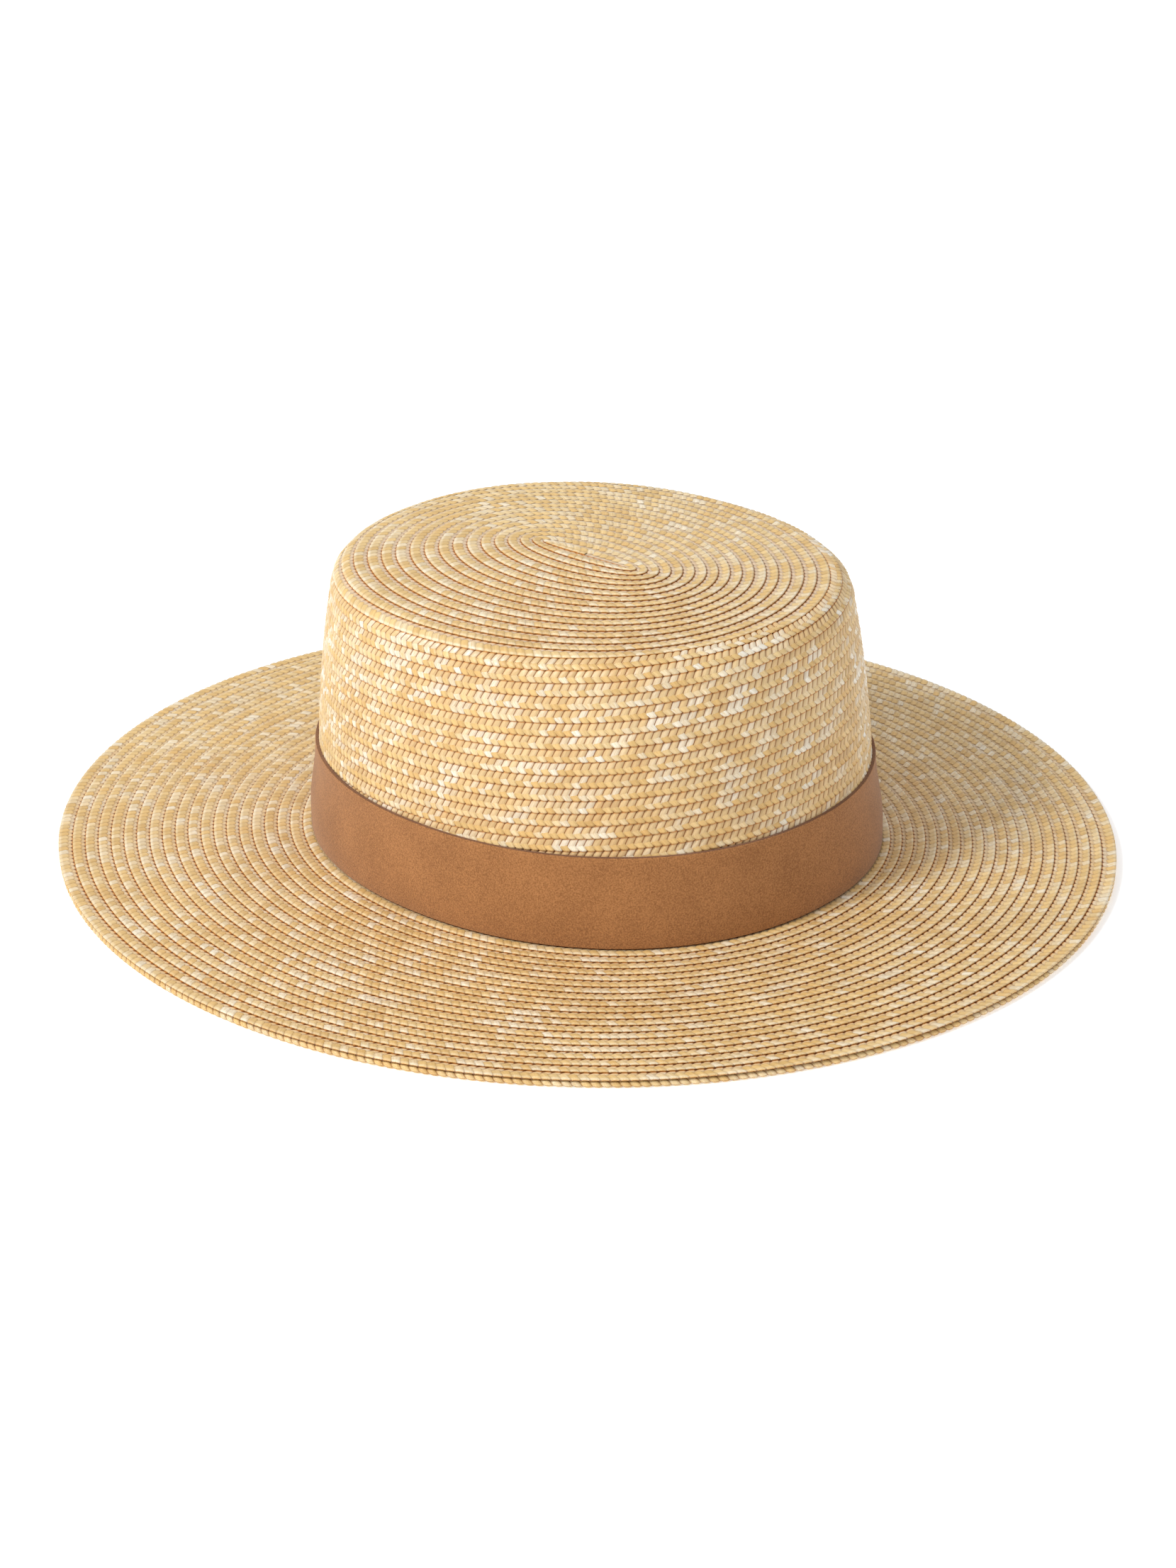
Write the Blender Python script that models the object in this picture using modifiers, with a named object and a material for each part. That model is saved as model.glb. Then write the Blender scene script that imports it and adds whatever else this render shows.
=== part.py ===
"""Boater hat of sewn straw braid with a plain leather hatband.

Metres, Z up, the floor at zero. The front of the hat looks along -Y and its long axis is Y.
The origin is under the middle of the brim. The crown's own axis stands a little forward of it.
"""

import math

import bmesh
import bpy
from mathutils import Vector

# Crown
CROWN_LENGTH = 0.1985       # outside of the straw wall at the brim, front to back
CROWN_WIDTH = 0.176         # the same, side to side
CROWN_SQUARENESS = 2.1      # 2 is a true ellipse, more is squarer
CROWN_RISE = 0.0966         # top of the brim to the top of the shoulder
CROWN_TAPER = 0.007         # how far the wall leans in on each side, brim to shoulder
CROWN_BELLY = 0.002         # how far the wall swells outside a straight lean
SHOULDER_RADIUS = 0.0093
TIP_DOME = 0.003            # rise of the tip's middle above the shoulder
CROWN_WALL = 0.002          # two laps of braid
CROWN_FOOT_FADE = 0.022     # height over which the flared foot of the wall runs out
CROWN_FORWARD = 0.0037      # crown axis in front of the brim's middle
CROWN_ASIDE = 0.0026        # crown axis to the right of the brim's middle

# Brim and the braid doubled back under its edge
BRIM_LENGTH = 0.378
BRIM_WIDTH = 0.3525
BRIM_THICKNESS = 0.0018
BEND_RADIUS = 0.0023        # the brim's upper side where it turns up into the crown
COLLAR_HEIGHT = 0.0037      # the turned-up row that the crown's last row laps over
EDGE_ROW_WIDTH = 0.0062
EDGE_ROW_THICKNESS = 0.0013
EDGE_ROW_SHOWING = 0.0008   # the doubled row stands out past the brim's own edge
EDGE_ROW_BEVEL = 0.0004

# Hatband
BAND_HEIGHT = 0.0312
BAND_THICKNESS = 0.001
BAND_ABOVE_BRIM = 0.0005

# Fit and fineness
GAP = 0.0003
SIDES = 72
BEND_STEPS = 4
FOOT_STEPS = 4
WALL_STEPS = 4
SHOULDER_STEPS = 6
TIP_STEPS = 4
BRIM_STEPS = 3
SMOOTH_BELOW = math.radians(40)

# Heights that follow from the sizes above
BRIM_BOTTOM = EDGE_ROW_THICKNESS + GAP
BRIM_TOP = BRIM_BOTTOM + BRIM_THICKNESS
BEND_TOP = BRIM_TOP + BEND_RADIUS
COLLAR_TOP = BEND_TOP + COLLAR_HEIGHT
SHOULDER_TOP = BRIM_TOP + CROWN_RISE
SHOULDER_FOOT = SHOULDER_TOP - SHOULDER_RADIUS
LAP_OUT = CROWN_WALL + GAP
LAP_TOP = COLLAR_TOP + GAP
BAND_FOOT = BRIM_TOP + BAND_ABOVE_BRIM
CROWN_MIDDLE = Vector((CROWN_ASIDE, -CROWN_FORWARD, 0))

# Colour, roughness and metallic of each finish
FINISHES = {
    "straw": ((0.72, 0.50, 0.25), 0.55, 0.0),
    "edge_straw": ((0.68, 0.45, 0.21), 0.55, 0.0),
    "suede": ((0.40, 0.20, 0.085), 0.95, 0.0),
}


def oval(length, width, squareness, middle, height):
    """One ring of points round an oval of the given full length and width."""
    power = 2 / squareness
    ring = []
    for side in range(SIDES):
        angle = math.tau * side / SIDES
        across = math.copysign(abs(math.cos(angle)) ** power, math.cos(angle))
        along = math.copysign(abs(math.sin(angle)) ** power, math.sin(angle))
        ring.append(middle + Vector((across * width / 2, along * length / 2, height)))
    return ring


def crown_ring(out, height):
    """A ring that lies outside the crown's base oval by out."""
    return oval(CROWN_LENGTH + 2 * out, CROWN_WIDTH + 2 * out, CROWN_SQUARENESS, CROWN_MIDDLE, height)


def brim_ring(inset, height):
    """A ring that lies inside the brim's outer oval by inset."""
    middle = Vector((0, 0, 0))
    return oval(BRIM_LENGTH - 2 * inset, BRIM_WIDTH - 2 * inset, 2, middle, height)


def blend_rings(inner, outer, share):
    """The ring that lies between two others."""
    return [a.lerp(b, share) for a, b in zip(inner, outer)]


def smooth_step(share):
    """Zero to one with a level start and end."""
    share = min(max(share, 0), 1)
    return share * share * (3 - 2 * share)


def wall_out(height):
    """How far the outside of the crown's wall lies from the base oval at a height."""
    share = max(height - LAP_TOP, 0) / (SHOULDER_FOOT - LAP_TOP)
    lean = CROWN_TAPER * share - 4 * CROWN_BELLY * share * (1 - share)
    flare = LAP_OUT * (1 - smooth_step((height - LAP_TOP) / CROWN_FOOT_FADE))
    return flare - lean


def wall_heights(start, end, steps):
    """Heights up the crown's wall: the flared foot's own levels, then even steps."""
    foot = [LAP_TOP + CROWN_FOOT_FADE * step / FOOT_STEPS for step in range(FOOT_STEPS + 1)]
    marks = [start] + [height for height in foot if start < height < end]
    above = marks[-1]
    return marks + [above + (end - above) * step / steps for step in range(1, steps + 1)]


def loft(name, rings, pole=None):
    """Joins rings, first to last, into one open surface, closed to a point if there is a pole."""
    mesh = bpy.data.meshes.new(name)
    shape = bmesh.new()
    levels = [[shape.verts.new(point) for point in ring] for ring in rings]
    for lower, upper in zip(levels, levels[1:]):
        for side in range(SIDES):
            after = (side + 1) % SIDES
            shape.faces.new((lower[side], lower[after], upper[after], upper[side]))
    if pole is not None:
        top = shape.verts.new(pole)
        for side in range(SIDES):
            shape.faces.new((levels[-1][side], levels[-1][(side + 1) % SIDES], top))
    shape.to_mesh(mesh)
    shape.free()
    piece = bpy.data.objects.new(name, mesh)
    bpy.data.collections["boater_hat"].objects.link(piece)
    return piece


def thicken(piece, thickness, offset):
    """Gives an open surface its wall: offset -1 behind the faces, 1 in front of them."""
    wall = piece.modifiers.new("wall", "SOLIDIFY")
    wall.thickness = thickness
    wall.offset = offset
    wall.use_even_offset = True
    wall.use_quality_normals = True


def finish(piece, finish_name):
    """Smooth shading and the piece's own material."""
    piece.data.shade_smooth()
    piece.data.set_sharp_from_angle(angle=SMOOTH_BELOW)
    colour, roughness, metallic = FINISHES[finish_name]
    material = bpy.data.materials.new(piece.name + "_" + finish_name)
    material.use_nodes = True
    shader = material.node_tree.nodes["Principled BSDF"]
    shader.inputs["Base Color"].default_value = (*colour, 1)
    shader.inputs["Roughness"].default_value = roughness
    shader.inputs["Metallic"].default_value = metallic
    piece.data.materials.append(material)


def make_crown():
    """Side wall, rounded shoulder and slightly domed tip, as one straw shell."""
    rings = [crown_ring(wall_out(height), height)
             for height in wall_heights(BEND_TOP, SHOULDER_FOOT, WALL_STEPS)]
    foot_out = wall_out(SHOULDER_FOOT)
    for step in range(1, SHOULDER_STEPS + 1):
        turn = math.pi / 2 * step / SHOULDER_STEPS
        out = foot_out - SHOULDER_RADIUS * (1 - math.cos(turn))
        rings.append(crown_ring(out, SHOULDER_FOOT + SHOULDER_RADIUS * math.sin(turn)))
    tip_edge = rings[-1]
    tip_middle = CROWN_MIDDLE + Vector((0, 0, SHOULDER_TOP + TIP_DOME))
    for step in range(1, TIP_STEPS):
        share = 1 - step / TIP_STEPS
        height = SHOULDER_TOP + TIP_DOME * (1 - share * share)
        level_middle = CROWN_MIDDLE + Vector((0, 0, height))
        flat_edge = [Vector((point.x, point.y, height)) for point in tip_edge]
        rings.append([level_middle.lerp(point, share) for point in flat_edge])
    crown = loft("crown", rings, tip_middle)
    thicken(crown, CROWN_WALL, -1)
    finish(crown, "straw")


def make_brim():
    """Flat brim whose inner edge turns up in a short collar inside the crown's last row."""
    rings = [crown_ring(0, COLLAR_TOP)]
    for step in range(BEND_STEPS + 1):
        turn = math.pi / 2 * step / BEND_STEPS
        out = BEND_RADIUS * (1 - math.cos(turn))
        rings.append(crown_ring(out, BEND_TOP - BEND_RADIUS * math.sin(turn)))
    inner = rings[-1]
    outer = brim_ring(EDGE_ROW_SHOWING, BRIM_TOP)
    rings += [blend_rings(inner, outer, step / BRIM_STEPS) for step in range(1, BRIM_STEPS + 1)]
    brim = loft("brim", rings[::-1])
    thicken(brim, BRIM_THICKNESS, -1)
    finish(brim, "straw")


def make_edge_row():
    """The last round of braid, doubled back under the brim's edge. The hat rests on it."""
    rings = [brim_ring(0, EDGE_ROW_THICKNESS), brim_ring(EDGE_ROW_WIDTH, EDGE_ROW_THICKNESS)]
    edge_row = loft("edge_row", rings)
    thicken(edge_row, EDGE_ROW_THICKNESS, -1)
    bevel = edge_row.modifiers.new("worn corners", "BEVEL")
    bevel.width = EDGE_ROW_BEVEL
    bevel.segments = 1
    bevel.limit_method = "ANGLE"
    finish(edge_row, "edge_straw")


def make_hatband():
    """Plain leather strap that follows the crown's wall and stands off it by the gap."""
    band_top = BAND_FOOT + BAND_HEIGHT
    rings = []
    for height in wall_heights(BAND_FOOT, band_top, 1):
        rings.append(crown_ring(wall_out(height) + GAP, height))
    hatband = loft("hatband", rings)
    thicken(hatband, BAND_THICKNESS, 1)
    finish(hatband, "suede")


def main():
    for old in list(bpy.data.objects):
        bpy.data.objects.remove(old, do_unlink=True)
    hat = bpy.data.collections.new("boater_hat")
    bpy.context.scene.collection.children.link(hat)
    make_crown()
    make_brim()
    make_edge_row()
    make_hatband()


main()
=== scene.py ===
"""Straw boater hat: sewn wheat-straw plait, suede band, pale floor and soft studio light.

Metres, Z up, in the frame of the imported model. The front of the hat looks along -Y.
Turns round the hat run anticlockwise from +X, seen from above. Rows of plait are counted
outwards from the middle of the tip, and again outwards from the foot of the crown.
"""

import math

import bmesh
import bpy
import numpy as np
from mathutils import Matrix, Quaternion, Vector


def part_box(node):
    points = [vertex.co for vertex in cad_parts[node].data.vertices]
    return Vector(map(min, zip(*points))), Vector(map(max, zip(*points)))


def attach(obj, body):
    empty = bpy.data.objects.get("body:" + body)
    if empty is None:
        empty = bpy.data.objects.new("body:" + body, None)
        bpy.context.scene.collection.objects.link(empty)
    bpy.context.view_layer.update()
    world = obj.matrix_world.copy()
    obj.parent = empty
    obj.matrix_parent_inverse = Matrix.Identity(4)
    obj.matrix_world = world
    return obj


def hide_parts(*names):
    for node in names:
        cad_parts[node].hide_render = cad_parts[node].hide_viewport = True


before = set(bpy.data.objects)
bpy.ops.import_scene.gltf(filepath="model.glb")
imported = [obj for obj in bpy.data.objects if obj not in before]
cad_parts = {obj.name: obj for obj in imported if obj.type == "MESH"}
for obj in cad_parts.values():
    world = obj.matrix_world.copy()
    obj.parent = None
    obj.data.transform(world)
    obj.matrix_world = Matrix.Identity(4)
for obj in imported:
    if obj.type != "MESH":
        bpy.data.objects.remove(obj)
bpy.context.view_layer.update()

# Form of the crown, as the solids have it
LAP_OUT = 0.0023            # the crown's last row stands out past the oval at its foot
CROWN_SQUARENESS = 2.1
CROWN_TAPER = 0.007
CROWN_BELLY = 0.002
CROWN_FOOT_FADE = 0.022
SHOULDER_RADIUS = 0.0093
TIP_DOME = 0.003
CROWN_WALL = 0.002
BRIM_THICKNESS = 0.0018
BEND_RADIUS = 0.0023
COLLAR_HEIGHT = 0.0037
GAP = 0.0003

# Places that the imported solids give
crown_low, crown_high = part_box("crown")
brim_low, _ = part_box("brim")
_, edge_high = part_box("edge_row")
band_low, band_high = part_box("hatband")
CROWN_X = (crown_low.x + crown_high.x) / 2
CROWN_Y = (crown_low.y + crown_high.y) / 2
CROWN_HALF_WIDTH = (crown_high.x - crown_low.x) / 2 - LAP_OUT
CROWN_HALF_LENGTH = (crown_high.y - crown_low.y) / 2 - LAP_OUT
SHOULDER_TOP = crown_high.z - TIP_DOME
SHOULDER_FOOT = SHOULDER_TOP - SHOULDER_RADIUS
BRIM_HALF_WIDTH = edge_high.x
BRIM_HALF_LENGTH = edge_high.y
BRIM_BOTTOM = brim_low.z
BRIM_TOP = BRIM_BOTTOM + BRIM_THICKNESS
BEND_TOP = BRIM_TOP + BEND_RADIUS
COLLAR_TOP = BEND_TOP + COLLAR_HEIGHT
LAP_TOP = COLLAR_TOP + GAP
BAND_FOOT = band_low.z
BAND_TOP = band_high.z

# Plait
CELL = 0.0029               # length of plait from one crossing of the straws to the next
SIDE_CELL = 0.0027
INSIDE_CELL = 0.0032
TIP_ROWS = 17               # from the middle of the tip to halfway round the shoulder
SIDE_PITCH = 0.0043
BRIM_ROWS = 19
EDGE_WIDTH = 0.0049         # the last row, wider than the others
TIP_START = -0.75           # the row at which the plait starts, in the middle of the tip
BEHIND_BAND = 1.6           # rows of the fine plait that go on behind the band
BRIM_SPLIT = 10             # the row at which the brim's plait is made in two pieces
SWIRL_HALF_LENGTH = 0.018   # the plait starts with a straight piece along Y
SWIRL_BACK = 0.0014         # its middle lies a little behind the crown's axis
BAND_ROW = TIP_ROWS + (SHOULDER_FOOT - BAND_TOP + SHOULDER_RADIUS * math.pi / 4) / SIDE_PITCH
FOOT_ROW = TIP_ROWS + (SHOULDER_FOOT - BEND_TOP + SHOULDER_RADIUS * math.pi / 4) / SIDE_PITCH
ROW_TILT = 0.0058           # the rows round the wall climb on one side of the crown by this
TILT_TURN = math.radians(223)
STEP_TURN = math.radians(61)  # where each round of the brim steps out to the next
STEP_SHARE = 0.1            # part of a round that the step takes

# One cell of plait. Rows run from 0 at the lip before to 1 at the row's own lip.
VALLEY = -0.00078           # the surface just outside a lip, against the form of the hat
CREST = -0.00022            # the surface at the lip
TUCK = -0.22                # an upper strand starts under the lip before
UPPER_END = 0.80
UPPER_SWELL = 0.14          # part of an upper strand's height at its tucked end
LOWER_START = (0.36, 0.58)  # where a lower strand starts, with no relief and with full relief
LOWER_SKEW = 0.24           # the slant of a lower strand's start, in rows
LOWER_ROUND = 0.10          # how far the middle of that start reaches back
LOWER_LIFT = 0.00008
LIP_START = 0.91
LIP_RADIUS = 0.00038
LIP_ROW = 0.09              # how far the lip's round edge reaches, in rows
LIP_SHARE = 0.5             # how much of a lower strand's length lies before the lip
LIP_TURN = math.radians(150)
UPPER_LEAN = 0.78           # sideways shift of a strand from end to end, in cells
LOWER_LEAN = 0.50
UPPER_PILLOW = 0.00050
LOWER_PILLOW = 0.00034
LOWER_SIDES = 0.38          # how much less a lower strand's sides reach past the lip
SIDE_RELIEF = 1.0           # share of the pillows' height that shows on the crown's wall
FLAT_RELIEF = 0.25          # the same on the tip and the brim
FIRST_ROW_LIFT = 0.0006     # the brim's first row rises by this towards the crown
STRAW_RUN = 1.5             # cells in which the same straw shows, one after another
FINE = ((4, 3), (4, 5))     # faces across and along an upper and a lower strand
FLAT = ((3, 3), (4, 5))
COARSE = ((2, 2), (2, 3))


def smooth_step(share):
    """Zero to one with a level start and end."""
    share = np.clip(share, 0, 1)
    return share * share * (3 - 2 * share)


def oval(half_width, half_length, squareness, turn):
    """Points of an oval, as x and y."""
    power = 2 / squareness
    across = np.cos(turn)
    along = np.sin(turn)
    x = np.sign(across) * np.abs(across) ** power * half_width
    y = np.sign(along) * np.abs(along) ** power * half_length
    return x, y


def oval_outward(half_width, half_length, squareness, turn):
    """The level direction that points straight out of an oval."""
    power = 2 - 2 / squareness
    x = np.sign(np.cos(turn)) * np.abs(np.cos(turn)) ** power / half_width
    y = np.sign(np.sin(turn)) * np.abs(np.sin(turn)) ** power / half_length
    size = np.hypot(x, y)
    return x / size, y / size


def wall_out(height):
    """How far the outside of the crown's wall lies from the oval at its foot."""
    share = np.maximum(height - LAP_TOP, 0) / (SHOULDER_FOOT - LAP_TOP)
    lean = CROWN_TAPER * share - 4 * CROWN_BELLY * share * (1 - share)
    return LAP_OUT * (1 - smooth_step((height - LAP_TOP) / CROWN_FOOT_FADE)) - lean


def as_points(x, y, z):
    """One array of points from three arrays."""
    return np.stack(np.broadcast_arrays(x, y, z), axis=-1)


def crown_surface(row, turn):
    """Where a row and a turn lie on the outside of the crown, and which way that faces."""
    foot_out = wall_out(SHOULDER_FOOT)
    half_width = CROWN_HALF_WIDTH + foot_out - SHOULDER_RADIUS
    half_length = CROWN_HALF_LENGTH + foot_out - SHOULDER_RADIUS
    edge_x, edge_y = oval(half_width, half_length, CROWN_SQUARENESS, turn)
    start_y = SWIRL_BACK + SWIRL_HALF_LENGTH * np.sin(turn)
    flat = np.hypot(edge_x, edge_y - start_y)
    to_shoulder = flat + SHOULDER_RADIUS * math.pi / 4
    beyond = to_shoulder + (row - TIP_ROWS) * SIDE_PITCH
    distance = np.where(row < TIP_ROWS, row / TIP_ROWS * to_shoulder, beyond)
    tilted = smooth_step(row / TIP_ROWS) * (1 - smooth_step((row - BAND_ROW) / (FOOT_ROW - BAND_ROW)))
    distance = distance - ROW_TILT * np.sin(turn - TILT_TURN) * tilted

    share = np.minimum(distance / flat, 1)
    tip_x = edge_x * share
    tip_y = start_y + (edge_y - start_y) * share
    around_x = np.abs(tip_x / half_width) ** CROWN_SQUARENESS
    around_y = np.abs(tip_y / half_length) ** CROWN_SQUARENESS
    dome = TIP_DOME * (1 - (around_x + around_y) ** (2 / CROWN_SQUARENESS))
    tip = as_points(tip_x, tip_y, SHOULDER_TOP + dome)
    tip_slope = 2 * TIP_DOME
    tip_up = as_points(tip_slope * tip_x / half_width**2, tip_slope * tip_y / half_length**2, 1)

    roll = np.clip((distance - flat) / SHOULDER_RADIUS, 0, math.pi / 2)
    drop = np.maximum(distance - flat - SHOULDER_RADIUS * math.pi / 2, 0)
    height = SHOULDER_FOOT + SHOULDER_RADIUS * np.cos(roll) - drop
    out = np.where(drop > 0, wall_out(height), foot_out - SHOULDER_RADIUS * (1 - np.sin(roll)))
    x, y = oval(CROWN_HALF_WIDTH + out, CROWN_HALF_LENGTH + out, CROWN_SQUARENESS, turn)
    out_x, out_y = oval_outward(CROWN_HALF_WIDTH, CROWN_HALF_LENGTH, CROWN_SQUARENESS, turn)
    step = 0.0005
    lean = np.where(drop > 0, (wall_out(height - step) - wall_out(height + step)) / (2 * step), 0)
    side = as_points(x, y, height)
    side_up = as_points(out_x * np.sin(roll), out_y * np.sin(roll), np.cos(roll) + lean)

    on_tip = (distance < flat)[..., None]
    point = np.where(on_tip, tip, side) + (CROWN_X, CROWN_Y, 0)
    up = np.where(on_tip, tip_up, side_up)
    return point, up / np.linalg.norm(up, axis=-1, keepdims=True)


def crown_inside(row, turn):
    """The inside of the crown's wall, still facing out."""
    point, up = crown_surface(row, turn)
    return point - up * CROWN_WALL, up


def brim_span(turn):
    """The bend's outer end, the brim's outer edge, and the way between them."""
    x, y = oval(CROWN_HALF_WIDTH + BEND_RADIUS, CROWN_HALF_LENGTH + BEND_RADIUS, CROWN_SQUARENESS, turn)
    inner = as_points(x + CROWN_X, y + CROWN_Y, 0)
    outer = as_points(*oval(BRIM_HALF_WIDTH, BRIM_HALF_LENGTH, 2, turn), 0)
    return inner, outer, np.linalg.norm(outer - inner, axis=-1)


def brim_surface(row, turn):
    """Where a row and a turn lie on the upper side of the brim."""
    inner, outer, way = brim_span(turn)
    rows_way = way - EDGE_WIDTH
    beyond = rows_way + (row - BRIM_ROWS) * EDGE_WIDTH
    distance = np.where(row < BRIM_ROWS, row / BRIM_ROWS * rows_way, beyond)
    lift = FIRST_ROW_LIFT * np.maximum(1 - row, 0)
    point = inner + (outer - inner) * (distance / way)[..., None] + as_points(0, 0, BRIM_TOP + lift)
    return point, np.broadcast_to((0.0, 0.0, 1.0), point.shape)


def brim_underside(row, turn):
    """The brim's underside, round the bend and up the inside of its collar for rows below 0."""
    point, up = brim_surface(np.maximum(row, 0), turn)
    point = point * (1, 1, 0) + (0, 0, BRIM_BOTTOM)
    bend = BEND_RADIUS + BRIM_THICKNESS
    back = np.maximum(-row, 0) * SIDE_PITCH
    roll = np.minimum(back / bend, math.pi / 2)
    rise = np.maximum(back - bend * math.pi / 2, 0)
    out = BEND_RADIUS - bend * np.sin(roll)
    x, y = oval(CROWN_HALF_WIDTH + out, CROWN_HALF_LENGTH + out, CROWN_SQUARENESS, turn)
    out_x, out_y = oval_outward(CROWN_HALF_WIDTH, CROWN_HALF_LENGTH, CROWN_SQUARENESS, turn)
    collar = as_points(x + CROWN_X, y + CROWN_Y, BRIM_BOTTOM + bend * (1 - np.cos(roll)) + rise)
    collar_up = as_points(out_x * np.sin(roll), out_y * np.sin(roll), np.cos(roll))
    in_collar = (row < 0)[..., None]
    return np.where(in_collar, collar, point), np.where(in_collar, collar_up, up)


def brim_outline(out, turn):
    """A level line that lies outside the brim's edge by out, at the floor."""
    x, y = oval(BRIM_HALF_WIDTH + out, BRIM_HALF_LENGTH + out, 2, turn)
    point = as_points(x, y, 0)
    return point, np.broadcast_to((0.0, 0.0, 1.0), point.shape)


def pillow(across):
    """Zero along both sides of a strand and one along its middle."""
    return math.sqrt(max(1 - (2 * across - 1) ** 2, 0))


def row_slope(row):
    """Each row rises from under the lip before to its own lip."""
    return VALLEY + (CREST - VALLEY) * row


def upper_strand(across, along, relief):
    """A straw that comes out from under the lip before, as cell, row and height."""
    cell = across + UPPER_LEAN * (0.5 - along)
    row = TUCK + (UPPER_END - TUCK) * along
    swell = math.sin(math.pi * (UPPER_SWELL + (1 - UPPER_SWELL) * along))
    return cell, row, row_slope(row) + UPPER_PILLOW * relief * pillow(across) * swell


def lower_strand(across, along, relief):
    """A straw that leans the other way and turns round the lip."""
    before = min(along / LIP_SHARE, 1)
    cell = across + LOWER_LEAN * (before - 0.5)
    turn = max(along - LIP_SHARE, 0) / (1 - LIP_SHARE) * LIP_TURN
    roundness = 1 - LOWER_SIDES * (0.3 + 0.7 * relief) * (1 - pillow(across))
    start = LOWER_START[0] + (LOWER_START[1] - LOWER_START[0]) * relief
    start += LOWER_SKEW * (0.5 - across) - LOWER_ROUND * pillow(across)
    row = start + (LIP_START - start) * before + LIP_ROW * roundness * math.sin(turn)
    swell = LOWER_PILLOW * (0.7 + 0.3 * relief) * pillow(across) * (0.5 + 0.5 * before)
    height = row_slope(min(row, LIP_START)) + swell + LOWER_LIFT
    return cell, row, height - LIP_RADIUS * (1 - math.cos(turn))


UNDER_ROW_DEPTH = 0.0062    # the doubled-back row, from the brim's edge inwards
UNDER_ROW_TOP = 0.0021
UNDER_BEAD = 0.00105        # radius of its round outer edge
UNDER_NARROW = 0.4          # how much smaller that radius is along a strand's sides
UNDER_LEAN = 1.15           # sideways shift of its strands from end to end, in cells
UNDER_START = 0.002         # how far inside the edge a strand starts
UNDER_OVER = 0.25           # part of a strand before it turns round the edge
UNDER_ROUND = 0.4           # part that turns
UNDER_BACK = 0.65           # where it runs straight back
EDGE_CELL = 0.0030


def under_strand(across, along, relief):
    """A straw of the doubled-back row, as cell, distance outside the brim's edge and height."""
    cell = across + UNDER_LEAN * (along - 0.5)
    over = min(along / UNDER_OVER, 1)
    turn = min(max(along - UNDER_OVER, 0) / UNDER_ROUND, 1) * math.pi
    under = max(along - UNDER_BACK, 0) / (1 - UNDER_BACK)
    radius = UNDER_BEAD * (1 - UNDER_NARROW * relief * (1 - pillow(across)))
    inward = UNDER_BEAD + (1 - over) * UNDER_START + under * (UNDER_ROW_DEPTH - UNDER_BEAD)
    out = radius * math.sin(turn) - inward
    return cell, out, UNDER_ROW_TOP / 2 + radius * math.cos(turn)


def add_strand(mesh, steps, shape, band, relief):
    """Adds one strand to a cell. Its own map runs 0 to 1 across, and its share of the cell along."""
    made = bmesh.ops.create_grid(mesh, x_segments=steps[0], y_segments=steps[1], size=0.5)["verts"]
    strand_map = mesh.loops.layers.uv["strand"]
    for face in {face for vert in made for face in vert.link_faces}:
        for loop in face.loops:
            along = 0.5 - loop.vert.co.y
            loop[strand_map].uv = (loop.vert.co.x + 0.5, band[0] + (band[1] - band[0]) * along)
    for vert in made:
        cell, row, height = shape(vert.co.x + 0.5, 0.5 - vert.co.y, relief)
        vert.co = (cell, -row, height)


def make_cell(name, strands, relief):
    """One cell of plait: x in cells, y in rows towards the middle of the hat, z in metres."""
    shape = bmesh.new()
    shape.loops.layers.uv.new("strand")
    for steps, strand, band in strands:
        add_strand(shape, steps, strand, band, relief)
    mesh = bpy.data.meshes.new(name)
    shape.to_mesh(mesh)
    shape.free()
    return mesh


def plait_cell(name, fineness, relief):
    """The common cell: an upper strand and a lower one that turns round the lip."""
    upper = (fineness[0], upper_strand, (0, 0.5))
    lower = (fineness[1], lower_strand, (0.5, 1))
    cell = make_cell(name, (upper, lower), relief)
    cell["split"] = (fineness[0][0] + 1) * (fineness[0][1] + 1)
    return cell


def spiral(surface, first_row, last_row, start_turn, limit, step=1.0):
    """The running length, turn and row along a plait that is sewn round in a spiral, clockwise.

    Each round moves out to the next one over its last part only, as much of it as the step says.
    """
    samples = int((last_row - first_row) * 360) + 1
    rounds = np.linspace(0, last_row - first_row, samples)
    turn = start_turn - rounds * math.tau
    row = first_row + rounds
    if step < 1:
        whole = np.floor(rounds)
        row = first_row + whole + smooth_step((rounds - whole - 1 + step) / step)
    middle, _ = surface(np.minimum(row + 0.5, limit), turn)
    steps = np.linalg.norm(np.diff(middle, axis=0), axis=1)
    length = np.concatenate(([0], np.cumsum(steps)))
    return length, turn, row


def closed_ring(surface, row):
    """The running length, turn and row along one closed round."""
    turn = np.linspace(math.tau, 0, 721)
    rows = np.full_like(turn, row)
    middle, _ = surface(rows, turn)
    steps = np.linalg.norm(np.diff(middle, axis=0), axis=1)
    length = np.concatenate(([0], np.cumsum(steps)))
    return length, turn, rows


def repeat_cell(cell, count):
    """A straight length of plait, as one joined mesh."""
    holder = bpy.data.objects.new("cell", cell)
    bpy.context.scene.collection.objects.link(holder)
    copies = holder.modifiers.new("copies", "ARRAY")
    copies.count = count
    copies.use_relative_offset = False
    copies.use_constant_offset = True
    copies.constant_offset_displace = (1, 0, 0)
    depsgraph = bpy.context.evaluated_depsgraph_get()
    mesh = bpy.data.meshes.new_from_object(holder.evaluated_get(depsgraph))
    bpy.data.objects.remove(holder, do_unlink=True)
    return mesh


def straw_runs(count, dice):
    """How pale the straw is at each crossing: one straw shows several times running."""
    straw = np.cumsum(dice.random(count) < 1 / STRAW_RUN)
    return dice.random(straw[-1] + 1)[straw]


def add_point_values(mesh, name, values):
    """Stores one number for each point of a mesh."""
    layer = mesh.attributes.new(name, "FLOAT", "POINT")
    layer.data.foreach_set("value", values.astype(np.float32))


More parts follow.
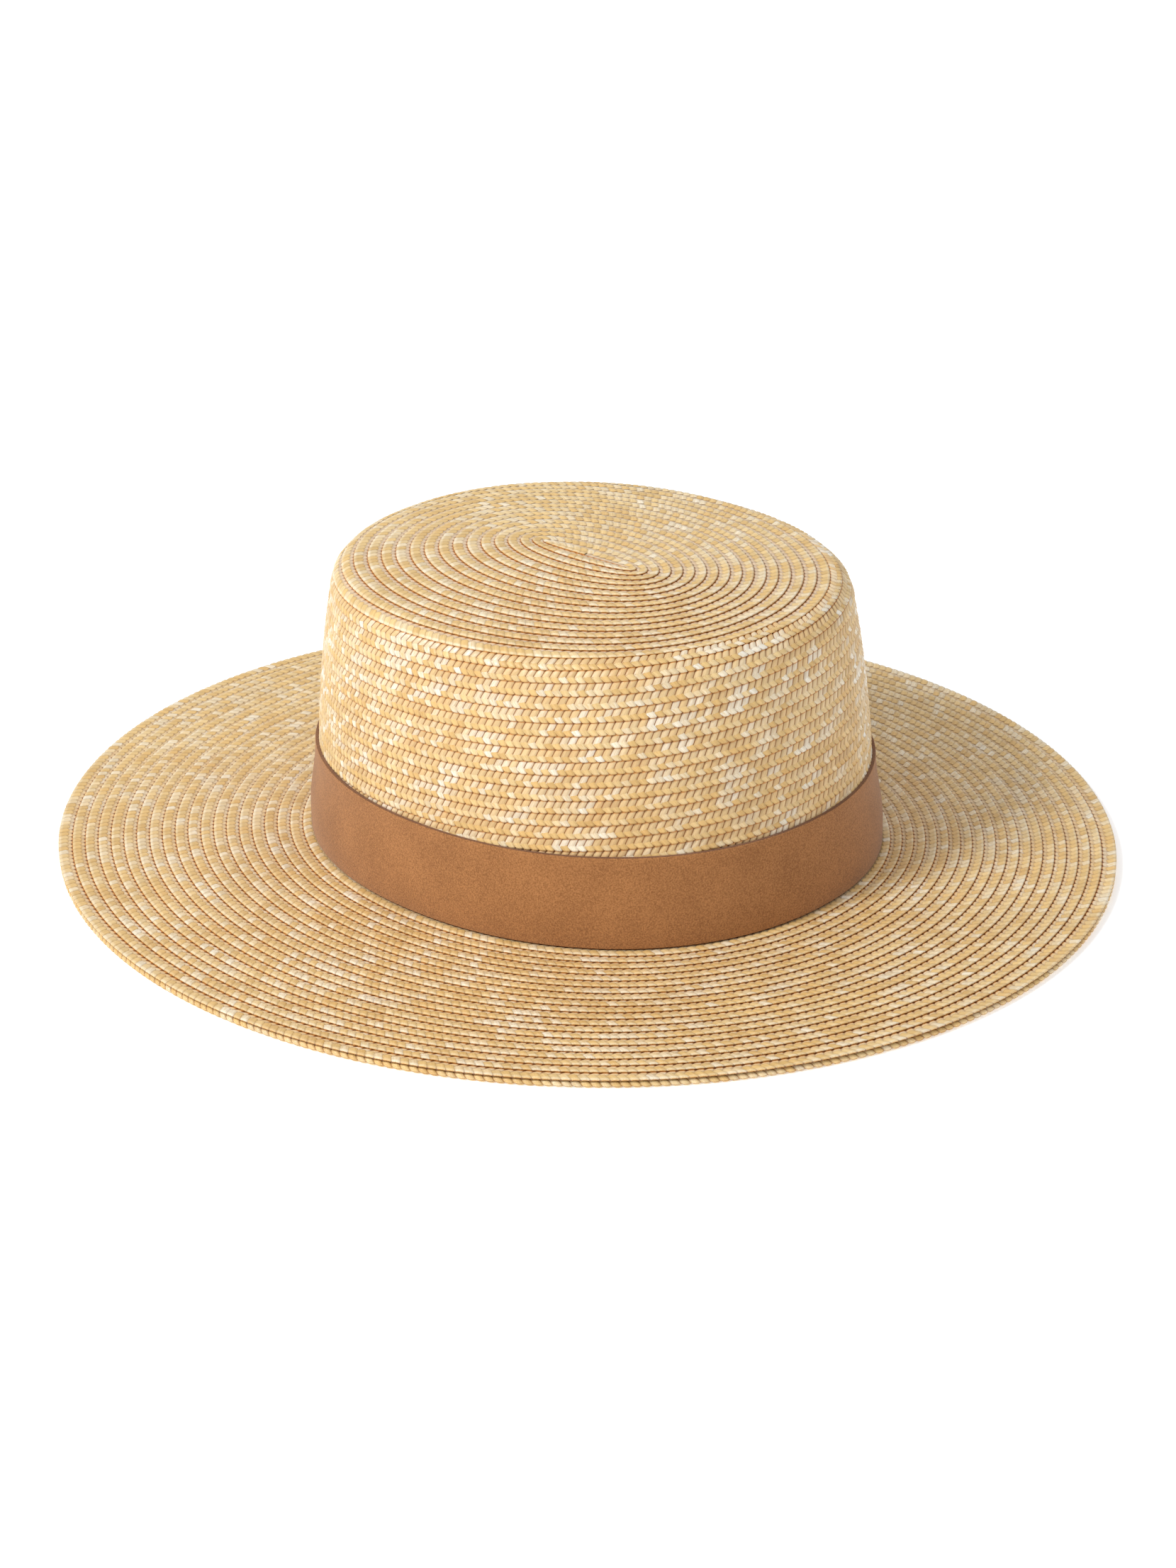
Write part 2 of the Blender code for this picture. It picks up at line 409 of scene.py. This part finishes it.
def colour_strands(mesh, cell, count, dice):
    """Gives each strand how pale it is and a seed, and each its own square of the bake map."""
    cell_points = len(cell.vertices)
    point = np.arange(len(mesh.vertices))
    number = point // cell_points
    second = (point % cell_points) >= cell.get("split", cell_points)
    upper = straw_runs(count + 2, dice)
    lower = np.where(dice.random(count + 2) < 0.5, np.roll(upper, -1), dice.random(count + 2))
    pale = np.where(second, lower[number], upper[number])
    seeds = dice.random((count, 2))[number, second.astype(int)]
    add_point_values(mesh, "paleness", pale)
    add_point_values(mesh, "strand_seed", seeds)

    corner = np.empty(len(mesh.loops), dtype=np.int32)
    mesh.loops.foreach_get("vertex_index", corner)
    strand_map = np.empty(len(mesh.loops) * 2, dtype=np.float32)
    mesh.uv_layers["strand"].data.foreach_get("uv", strand_map)
    within = strand_map.reshape(-1, 2).copy()
    if "split" in cell:
        within[:, 1] = within[:, 1] * 2 - second[corner]
    square = number[corner] * 2 + second[corner]
    side = math.ceil(math.sqrt(count * 2))
    place = np.stack((square % side, square // side), axis=1)
    bake = (place + 0.04 + 0.92 * within) / side
    layer = mesh.uv_layers.new(name="OFBake")
    layer.data.foreach_set("uv", bake.astype(np.float32).ravel())


def sew(name, cell, path, surface, facing, material, nodes, part, limits, seed, cell_length=CELL):
    """Lays a straight plait along part of a path on a surface, as one piece of the scene."""
    length, turn, row = path
    start = part[0] * length[-1]
    end = part[1] * length[-1]
    count = round((end - start) / cell_length)
    mesh = repeat_cell(cell, count)
    local = np.empty(len(mesh.vertices) * 3)
    mesh.vertices.foreach_get("co", local)
    local = local.reshape(-1, 3)
    along = start + (count - local[:, 0]) * (end - start) / count
    if row[-1] == row[0]:
        along = along % length[-1]
    at_turn = np.interp(along, length, turn)
    in_row = -local[:, 1] if facing > 0 else 1 + local[:, 1]
    start_row = np.interp(along, length, row)
    width = np.clip(limits[1] - start_row, 0, 1)
    at_row = np.maximum(start_row + in_row * width, limits[0])
    point, up = surface(at_row, at_turn)
    place = point + up * (facing * local[:, 2])[:, None]
    mesh.vertices.foreach_set("co", place.ravel())
    colour_strands(mesh, cell, count, np.random.default_rng(seed))
    mesh.shade_smooth()
    mesh.update()
    piece = bpy.data.objects.new(name, mesh)
    bpy.context.scene.collection.objects.link(piece)
    piece.data.materials.clear()
    piece.data.materials.append(material)
    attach(piece, "root")
    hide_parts(*nodes)
    return piece


def linear_share(share):
    """One channel of a colour, 0 to 1, as the shader's own value."""
    if share > 0.04:
        return (share + 0.055) ** 2.4 / 1.055**2.4
    return share / 12.92


def srgb(red, green, blue):
    """A colour given 0 to 255, as the shader's own values."""
    return (*[linear_share(value / 255) for value in (red, green, blue)], 1)


def add_node(tree, kind, inputs=None, **settings):
    """A shader node with its settings, each input a value or another node's output."""
    made = tree.nodes.new("ShaderNode" + kind)
    for name, value in settings.items():
        setattr(made, name, value)
    for key, value in (inputs or {}).items():
        if isinstance(value, bpy.types.NodeSocket):
            tree.links.new(value, made.inputs[key])
        else:
            made.inputs[key].default_value = value
    return made


def calculate(tree, operation, first, second=0.0, third=0.0):
    """The output of a Math node."""
    return add_node(tree, "Math", {0: first, 1: second, 2: third}, operation=operation).outputs[0]


def fade(tree, value, start, end, low=0.0, high=1.0):
    """A smooth change from low to high while a value runs from start to end."""
    inputs = {"Value": value, "From Min": start, "From Max": end, "To Min": low, "To Max": high}
    return add_node(tree, "MapRange", inputs, interpolation_type="SMOOTHSTEP").outputs["Result"]


def blend_colour(tree, share, first, second):
    """The output of a colour mix."""
    mix = add_node(tree, "Mix", data_type="RGBA")
    for index, value in ((0, share), (6, first), (7, second)):
        if isinstance(value, bpy.types.NodeSocket):
            tree.links.new(value, mix.inputs[index])
        else:
            mix.inputs[index].default_value = value
    return mix.outputs[2]


def ramp(tree, value, stops):
    """A colour ramp with the given places and colours."""
    made = add_node(tree, "ValToRGB", {"Fac": value})
    scale = made.color_ramp.elements
    scale[0].position, scale[0].color = stops[0]
    scale[1].position, scale[1].color = stops[-1]
    for position, colour in stops[1:-1]:
        scale.new(position).color = colour
    return made.outputs["Color"]


STRAW_TONES = (
    (0.00, srgb(226, 183, 114)),
    (0.35, srgb(236, 200, 134)),
    (0.60, srgb(241, 211, 155)),
    (0.77, srgb(244, 223, 185)),
    (0.89, srgb(250, 239, 216)),
    (1.00, srgb(254, 250, 240)),
)
# Painted shade in the grooves along the strands' sides
GROOVE_SHADE_COLOUR = srgb(156, 94, 38)
# Painted shade under the lips
UNDER_LIP_SHADE_COLOUR = srgb(208, 138, 58)
# A painted highlight along the lips
LIP_HIGHLIGHT_COLOUR = srgb(252, 240, 214)
# Painted shade in the notches at the lips' joints
NOTCH_SHADE_COLOUR = srgb(124, 68, 22)
BEIGE = srgb(230, 204, 172)


# How strong each part of a straw's look is: the painted shade in its side grooves and notches, its
# beige, its contrast and the painted highlight along its lips
LOOK_NAMES = ("Groove Shade Strength", "Notch Shade Strength", "Beige", "Contrast", "Lip Highlight")
WALL_LOOKS = (0.9, 0.45, 0.3, 0.8, 0.1)
LEVEL_LOOKS = (0.3, 1.0, 0.5, 0.68, 0.5)
TIP_LOOKS = (0.2, 0.7, 1.0, 0.62, 0.6)
EDGE_LOOKS = (0.6, 0.5, 0.0, 0.6, 0.0)

STREAKS_ACROSS = 7.0
STREAKS_ALONG = 2.5
SEED_SPREAD = 97.0          # keeps the streaks of one straw apart from the next one's
SIDE_LINE = 0.11            # width of the thin lines of painted shade along a straw's sides, in widths
MIDDLE_PALENESS = 0.45      # the paleness that contrast leaves as it is
UNDER_LIP_SHADE_STRENGTH = 0.9        # how much of the painted shade shows under a lip
PATCH_SCALE = 70.0
PATCH_SHARE = 0.6
CLOUD_SCALE = 28.0
BUMP_DEPTH = 0.00015


def make_strand_group():
    """How one straw looks between its sides: streaks, thin side lines of painted shade, notches of
    painted shade at the lips, painted shade under them and a painted highlight along them.
    """
    group = bpy.data.node_groups.new("straw_strand", "ShaderNodeTree")
    for name in ("Across", "Along", "Paleness", "Seed", *LOOK_NAMES):
        group.interface.new_socket(name, in_out="INPUT", socket_type="NodeSocketFloat")
    group.interface.new_socket("Color", in_out="OUTPUT", socket_type="NodeSocketColor")
    group.interface.new_socket("Roughness", in_out="OUTPUT", socket_type="NodeSocketFloat")
    group.interface.new_socket("Height", in_out="OUTPUT", socket_type="NodeSocketFloat")
    given = group.nodes.new("NodeGroupInput").outputs
    result = group.nodes.new("NodeGroupOutput")

    from_middle = calculate(group, "ABSOLUTE", calculate(group, "SUBTRACT", given["Across"], 0.5))
    to_side = calculate(group, "SUBTRACT", 0.5, from_middle)
    # thin lines of painted shade along the strand's sides, also a groove in the bump
    line = fade(group, to_side, 0.0, SIDE_LINE, 1.0, 0.0)

    # notches of painted shade between strands, just past the lip before and at the strand's own lip
    under_lip = fade(group, given["Along"], 0.13, 0.22, 1.0, 0.0)
    at_lip = fade(group, given["Along"], 0.78, 0.95)
    notch_shade_width = calculate(group, "MULTIPLY_ADD", under_lip, 0.26, 0.02)
    notch_shade_width = calculate(group, "MULTIPLY_ADD", at_lip, 0.20, notch_shade_width)
    notch_shade = calculate(group, "DIVIDE", to_side, notch_shade_width)
    notch_shade = fade(group, notch_shade, 0.35, 1.0, 1.0, 0.0)
    notch_shade = calculate(group, "MULTIPLY", notch_shade, calculate(group, "MAXIMUM", under_lip, at_lip))
    # painted shade under the lip, and where the strand comes out from under the lip before
    under = calculate(group, "MAXIMUM", fade(group, given["Along"], 0.86, 0.97),
                      fade(group, given["Along"], 0.11, 0.17, 1.0, 0.0))
    # and a thin line of painted shade where the upper and lower strands meet
    meeting = calculate(group, "ABSOLUTE", calculate(group, "SUBTRACT", given["Along"], 0.5))
    line = calculate(group, "MAXIMUM", line, fade(group, meeting, 0.0, 0.035, 1.0, 0.0))
    upper = fade(group, given["Along"], 0.42, 0.5, 1.0, 0.0)
    # painted shade: darker towards the strand's sides
    side_shade = fade(group, to_side, 0.0, 0.34, 0.84, 1.0)

    vector = add_node(group, "CombineXYZ", {
        "X": calculate(group, "MULTIPLY", given["Across"], STREAKS_ACROSS),
        "Y": calculate(group, "MULTIPLY", given["Along"], STREAKS_ALONG),
        "Z": calculate(group, "MULTIPLY", given["Seed"], SEED_SPREAD),
    })
    streak_inputs = {"Vector": vector.outputs[0], "Scale": 1.0, "Detail": 3.0, "Roughness": 0.6}
    streak = add_node(group, "TexNoise", streak_inputs).outputs["Fac"]

    own_pale = calculate(group, "SUBTRACT", given["Paleness"], MIDDLE_PALENESS)
    own_pale = calculate(group, "MULTIPLY_ADD", own_pale, given["Contrast"], MIDDLE_PALENESS)
    streak_change = calculate(group, "SUBTRACT", streak, 0.5)
    pale = calculate(group, "MULTIPLY_ADD", streak_change, 0.5, own_pale)
    straw = ramp(group, pale, STRAW_TONES)
    own_shade = calculate(group, "MULTIPLY_ADD", given["Seed"], 0.14, 0.90)
    shade = calculate(group, "MULTIPLY", own_shade, fade(group, streak, 0.3, 0.7, 0.93, 1.04))
    shade = calculate(group, "MULTIPLY", shade, side_shade)
    beige = calculate(group, "MULTIPLY", upper, given["Beige"])
    straw = blend_colour(group, beige, straw, BEIGE)
    straw = add_node(group, "VectorMath", {0: straw, "Scale": shade}, operation="SCALE").outputs[0]
    # a painted highlight along the lip, stronger on paler straws
    lip_highlight_start = fade(group, given["Along"], 0.66, 0.74)
    lip_highlight_end = fade(group, given["Along"], 0.80, 0.90, 1.0, 0.0)
    lip = calculate(group, "MULTIPLY", lip_highlight_start, lip_highlight_end)
    lip = calculate(group, "MULTIPLY", lip, fade(group, pale, 0.2, 0.8, 0.3, 1.0))
    layers = (
        (lip, given["Lip Highlight"], LIP_HIGHLIGHT_COLOUR),
        (under, UNDER_LIP_SHADE_STRENGTH, UNDER_LIP_SHADE_COLOUR),
        (line, given["Groove Shade Strength"], GROOVE_SHADE_COLOUR),
        (notch_shade, given["Notch Shade Strength"], NOTCH_SHADE_COLOUR),
    )
    for share, strength, colour in layers:
        straw = blend_colour(group, calculate(group, "MULTIPLY", share, strength), straw, colour)

    rough = fade(group, given["Paleness"], 0.6, 0.95, 0.44, 0.32)
    rough = calculate(group, "MULTIPLY_ADD", line, 0.2, rough)
    height = calculate(group, "MULTIPLY_ADD", line, -0.6, calculate(group, "MULTIPLY", streak, 0.5))
    group.links.new(straw, result.inputs["Color"])
    group.links.new(rough, result.inputs["Roughness"])
    group.links.new(height, result.inputs["Height"])
    return group


def new_material(name):
    """An empty material, its tree and its Principled shader."""
    material = bpy.data.materials.new(name)
    material.use_nodes = True
    return material, material.node_tree, material.node_tree.nodes["Principled BSDF"]


def make_straw(name, strand_group, looks, tint):
    """Satin wheat straw, patterned by each strand's own map, with painted shade and a painted
    highlight.
    """
    material, tree, shader = new_material(name)
    strand_map = add_node(tree, "UVMap", uv_map="strand")
    parts = add_node(tree, "SeparateXYZ", {0: strand_map.outputs["UV"]})
    pale = add_node(tree, "Attribute", attribute_name="paleness")
    seed = add_node(tree, "Attribute", attribute_name="strand_seed")
    place = add_node(tree, "TexCoord").outputs["Object"]
    patches = add_node(tree, "TexNoise", {"Vector": place, "Scale": PATCH_SCALE, "Detail": 3.0})
    patch_change = calculate(tree, "SUBTRACT", patches.outputs["Fac"], 0.5)
    pale_here = calculate(tree, "MULTIPLY_ADD", patch_change, PATCH_SHARE, pale.outputs["Fac"])
    strand = add_node(tree, "Group", node_tree=strand_group)
    tree.links.new(parts.outputs["X"], strand.inputs["Across"])
    tree.links.new(parts.outputs["Y"], strand.inputs["Along"])
    tree.links.new(pale_here, strand.inputs["Paleness"])
    tree.links.new(seed.outputs["Fac"], strand.inputs["Seed"])
    for look, value in zip(LOOK_NAMES, looks):
        strand.inputs[look].default_value = value

    clouds = add_node(tree, "TexNoise", {"Vector": place, "Scale": CLOUD_SCALE, "Detail": 2.0})
    share = fade(tree, clouds.outputs["Fac"], 0.35, 0.75, 0.0, 0.30)
    colour = add_node(tree, "Mix", data_type="RGBA", blend_type="MULTIPLY")
    tree.links.new(share, colour.inputs[0])
    tree.links.new(strand.outputs["Color"], colour.inputs[6])
    colour.inputs[7].default_value = tint
    tree.links.new(colour.outputs[2], shader.inputs["Base Color"])
    tree.links.new(strand.outputs["Roughness"], shader.inputs["Roughness"])
    bump_inputs = {"Height": strand.outputs["Height"], "Strength": 0.5, "Distance": BUMP_DEPTH}
    bump = add_node(tree, "Bump", bump_inputs)
    tree.links.new(bump.outputs[0], shader.inputs["Normal"])
    shader.inputs["Specular IOR Level"].default_value = 0.6
    return material


SUEDE_CLOUD_SCALE = 60.0
NAP_SCALE = 1900.0          # the fine nap, about half a millimetre from tuft to tuft


def make_suede(name, light, dark):
    """Soft brushed leather with a fine nap and slow, cloudy changes of colour."""
    material, tree, shader = new_material(name)
    place = add_node(tree, "TexCoord").outputs["Object"]
    cloud_inputs = {"Vector": place, "Scale": SUEDE_CLOUD_SCALE, "Detail": 4.0, "Roughness": 0.6}
    cloud = add_node(tree, "TexNoise", cloud_inputs)
    nap_inputs = {"Vector": place, "Scale": NAP_SCALE, "Detail": 2.0, "Roughness": 0.7}
    nap = add_node(tree, "TexNoise", nap_inputs)
    clouds = calculate(tree, "MULTIPLY", cloud.outputs["Fac"], 0.25)
    share = calculate(tree, "MULTIPLY_ADD", nap.outputs["Fac"], 0.95, clouds)
    share = fade(tree, share, 0.38, 0.82)
    tree.links.new(blend_colour(tree, share, dark, light), shader.inputs["Base Color"])
    bump_inputs = {"Height": nap.outputs["Fac"], "Strength": 0.6, "Distance": BUMP_DEPTH}
    bump = add_node(tree, "Bump", bump_inputs)
    tree.links.new(bump.outputs[0], shader.inputs["Normal"])
    shader.inputs["Roughness"].default_value = 0.92
    shader.inputs["Specular IOR Level"].default_value = 0.25
    shader.inputs["Sheen Weight"].default_value = 0.25
    shader.inputs["Sheen Roughness"].default_value = 0.5
    return material


BAND_SIDES = 288
BAND_LEVELS = 8
BAND_THICKNESS = 0.001
BAND_EDGE = 0.00028         # roundness of the cut edges
BAND_SINK = 0.0005          # its inner side lies in the hollows between the rows


def make_band(suede, cut_edge_and_shade):
    """A plain strap with softly rounded cut edges that follows the crown's wall."""
    shape = bmesh.new()
    outline = bmesh.ops.create_grid(shape, x_segments=1, y_segments=BAND_LEVELS, size=0.5)["verts"]
    height = BAND_TOP - BAND_FOOT
    for vert in outline:
        out = GAP - BAND_SINK + (vert.co.x + 0.5) * (BAND_THICKNESS + BAND_SINK)
        vert.co = (1 + out, 0, BAND_FOOT + (vert.co.y + 0.5) * height)
    inner = [edge for edge in shape.edges if not edge.is_boundary]
    bmesh.ops.delete(shape, geom=list(shape.faces), context="FACES_ONLY")
    bmesh.ops.delete(shape, geom=inner, context="EDGES")
    corners = [vert for vert in shape.verts
               if min(abs(vert.co.z - BAND_FOOT), abs(vert.co.z - BAND_TOP)) < 1e-6]
    bmesh.ops.bevel(shape, geom=corners, offset=BAND_EDGE, offset_type="OFFSET", segments=3,
                    profile=0.5, affect="VERTICES", material=-1)
    bmesh.ops.spin(shape, geom=list(shape.verts) + list(shape.edges), cent=(0, 0, 0), axis=(0, 0, 1),
                   angle=math.tau, steps=BAND_SIDES, use_merge=True)
    bmesh.ops.remove_doubles(shape, verts=list(shape.verts), dist=1e-6)
    bmesh.ops.recalc_face_normals(shape, faces=list(shape.faces))
    for vert in shape.verts:
        out = math.hypot(vert.co.x, vert.co.y) - 1 + float(wall_out(vert.co.z))
        turn = math.atan2(vert.co.y, vert.co.x)
        x, y = oval(CROWN_HALF_WIDTH + out, CROWN_HALF_LENGTH + out, CROWN_SQUARENESS, turn)
        vert.co = (CROWN_X + x, CROWN_Y + y, vert.co.z)
    shape.normal_update()
    for face in shape.faces:
        face.smooth = True
        # the cut edges get darker suede: the leather's darker edge and painted shade
        face.material_index = 1 if abs(face.normal.z) > 0.8 else 0
    mesh = bpy.data.meshes.new("suede_band")
    shape.to_mesh(mesh)
    shape.free()
    band = bpy.data.objects.new("suede_band", mesh)
    bpy.context.scene.collection.objects.link(band)
    mesh.materials.append(suede)
    mesh.materials.append(cut_edge_and_shade)
    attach(band, "root")
    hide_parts("hatband")


def make_straw_pieces():
    """Every length of plait on the hat, outside and inside."""
    group = make_strand_group()
    outer = make_straw("wheat_straw", group, WALL_LOOKS, srgb(232, 218, 196))
    level = make_straw("wheat_straw_level", group, LEVEL_LOOKS, srgb(228, 216, 200))
    tip = make_straw("wheat_straw_tip", group, TIP_LOOKS, srgb(246, 238, 228))
    golden = make_straw("edge_straw", group, EDGE_LOOKS, srgb(250, 215, 165))
    fine = plait_cell("fine_cell", FINE, SIDE_RELIEF)
    flat = plait_cell("flat_cell", FLAT, FLAT_RELIEF)
    coarse = plait_cell("coarse_cell", COARSE, FLAT_RELIEF)
    under = make_cell("under_cell", (((4, 10), under_strand, (0, 1)),), SIDE_RELIEF)

    crown_path = spiral(crown_surface, TIP_START, FOOT_ROW - 1, math.pi, FOOT_ROW)
    length, _, row = crown_path
    tip_end = float(np.interp(TIP_ROWS - 1, row, length) / length[-1])
    side_middle = float(np.interp((TIP_ROWS + BAND_ROW) / 2, row, length) / length[-1])
    side_end = float(np.interp(BAND_ROW + BEHIND_BAND, row, length) / length[-1])
    crown = ("crown",)
    limits = (TIP_START, FOOT_ROW)
    sew("tip_plait", flat, crown_path, crown_surface, 1, tip, crown, (0, tip_end), limits, 1)
    upper_part = (tip_end, side_middle)
    lower_part = (side_middle, side_end)
    sew("side_plait_upper", fine, crown_path, crown_surface, 1, outer, crown, upper_part,
        limits, 2, SIDE_CELL)
    sew("side_plait_lower", fine, crown_path, crown_surface, 1, outer, crown, lower_part,
        limits, 10, SIDE_CELL)
    sew("hidden_plait", coarse, crown_path, crown_surface, 1, outer, crown, (side_end, 1),
        limits, 3)
    sew("inner_plait", coarse, crown_path, crown_inside, -1, outer, crown, (0, 1),
        limits, 4, INSIDE_CELL)

    brim_path = spiral(brim_surface, -1, BRIM_ROWS, STEP_TURN, BRIM_ROWS, STEP_SHARE)
    length, _, row = brim_path
    halfway = float(np.interp(BRIM_SPLIT, row, length) / length[-1])
    brim = ("brim",)
    limits = (0, BRIM_ROWS)
    sew("brim_plait_inner", flat, brim_path, brim_surface, 1, level, brim, (0, halfway), limits, 5)
    sew("brim_plait_outer", flat, brim_path, brim_surface, 1, level, brim, (halfway, 1), limits, 6)
    collar_rows = (COLLAR_HEIGHT + (BEND_RADIUS + BRIM_THICKNESS) * math.pi / 2) / SIDE_PITCH
    under_path = spiral(brim_underside, -collar_rows, BRIM_ROWS, STEP_TURN, BRIM_ROWS)
    limits = (-collar_rows, BRIM_ROWS)
    sew("underside_plait", coarse, under_path, brim_underside, -1, outer, brim, (0, 1),
        limits, 7, INSIDE_CELL)

    edge_path = closed_ring(brim_surface, float(BRIM_ROWS))
    limits = (0, BRIM_ROWS + 2)
    sew("edge_plait", flat, edge_path, brim_surface, 1, level, brim, (0, 1), limits, 8)
    under_ring = closed_ring(brim_outline, 0.0)
    sew("doubled_edge", under, under_ring, brim_outline, 1, golden, ("edge_row",), (0, 1),
        (-1, 1), 9, EDGE_CELL)


# Camera, fitted to the outlines of the brim, crown and band in the photo
CAMERA_TARGET = Vector((0.00116, -0.00217, 0.0173))
CAMERA_DISTANCE = 1.2
CAMERA_AZIMUTH = math.radians(-46.8)
CAMERA_ELEVATION = math.radians(24.94)
CAMERA_ROLL = -0.020
CAMERA_LENS = 79.26


def make_camera():
    """Looks down at the hat from its front left."""
    camera = bpy.data.objects.new("camera", bpy.data.cameras.new("camera"))
    bpy.context.scene.collection.objects.link(camera)
    level = math.cos(CAMERA_ELEVATION)
    back_x = math.sin(CAMERA_AZIMUTH) * level
    back_y = -math.cos(CAMERA_AZIMUTH) * level
    back = Vector((back_x, back_y, math.sin(CAMERA_ELEVATION)))
    camera.location = CAMERA_TARGET + back * CAMERA_DISTANCE
    look = (-back).to_track_quat("-Z", "Y") @ Quaternion((0, 0, 1), CAMERA_ROLL)
    camera.rotation_euler = look.to_euler()
    camera.data.lens = CAMERA_LENS
    camera.data.sensor_width = 36
    camera.data.clip_end = 50
    bpy.context.scene.camera = camera
    return back


FLOOR_RADIUS = 12
FLOOR_GLOW = 0.35           # keeps the floor white under soft light


def make_floor():
    """A pale level floor, wide enough to fill the view."""
    shape = bmesh.new()
    bmesh.ops.create_circle(shape, cap_ends=True, radius=FLOOR_RADIUS, segments=96)
    mesh = bpy.data.meshes.new("floor")
    shape.to_mesh(mesh)
    shape.free()
    floor = bpy.data.objects.new("floor", mesh)
    bpy.context.scene.collection.objects.link(floor)
    material, _, shader = new_material("pale_floor")
    shader.inputs["Base Color"].default_value = (0.93, 0.935, 0.945, 1)
    shader.inputs["Roughness"].default_value = 0.9
    shader.inputs["Specular IOR Level"].default_value = 0.1
    shader.inputs["Emission Color"].default_value = (1, 1, 1, 1)
    shader.inputs["Emission Strength"].default_value = FLOOR_GLOW
    mesh.materials.append(material)


SURROUND_LOW = 0.45         # brightness of the surround at the horizon and high up
SURROUND_HIGH = 0.72
KEY_RIGHT = -1.50           # place of the lamp, against the hat and the view
KEY_NEAR = 0.95
KEY_HEIGHT = 1.80
KEY_SIZE = 0.7
KEY_POWER = 36


def add_lamp(name, place, size, power, colour):
    """A large soft lamp that points at the hat."""
    lamp = bpy.data.objects.new(name, bpy.data.lights.new(name, "AREA"))
    bpy.context.scene.collection.objects.link(lamp)
    lamp.location = place
    lamp.rotation_euler = (CAMERA_TARGET - place).to_track_quat("-Z", "Y").to_euler()
    lamp.data.shape = "DISK"
    lamp.data.size = size
    lamp.data.energy = power
    lamp.data.color = colour


def make_lights(back):
    """A white surround, brighter higher up, and a soft key from the left of the view."""
    world = bpy.data.worlds.new("studio")
    bpy.context.scene.world = world
    world.use_nodes = True
    tree = world.node_tree
    direction = add_node(tree, "TexCoord").outputs["Generated"]
    height = add_node(tree, "SeparateXYZ", {0: direction}).outputs["Z"]
    strength = fade(tree, height, 0.0, 0.9, SURROUND_LOW, SURROUND_HIGH)
    seen = add_node(tree, "LightPath").outputs["Is Camera Ray"]
    background = tree.nodes["Background"]
    tree.links.new(calculate(tree, "MAXIMUM", strength, seen), background.inputs["Strength"])
    background.inputs["Color"].default_value = (1.0, 1.0, 1.0, 1)
    right = Vector((-back.y, back.x, 0)).normalized()
    near = Vector((back.x, back.y, 0)).normalized()
    place = right * KEY_RIGHT + near * KEY_NEAR + Vector((0, 0, KEY_HEIGHT))
    add_lamp("key", place, KEY_SIZE, KEY_POWER, (1.0, 0.985, 0.96))
    bpy.context.scene.view_settings.view_transform = "Standard"


make_straw_pieces()
make_band(make_suede("suede", srgb(187, 131, 81), srgb(142, 94, 54)),
          make_suede("suede_cut_edge_and_shade", srgb(140, 94, 58), srgb(106, 68, 40)))
make_floor()
make_lights(make_camera())
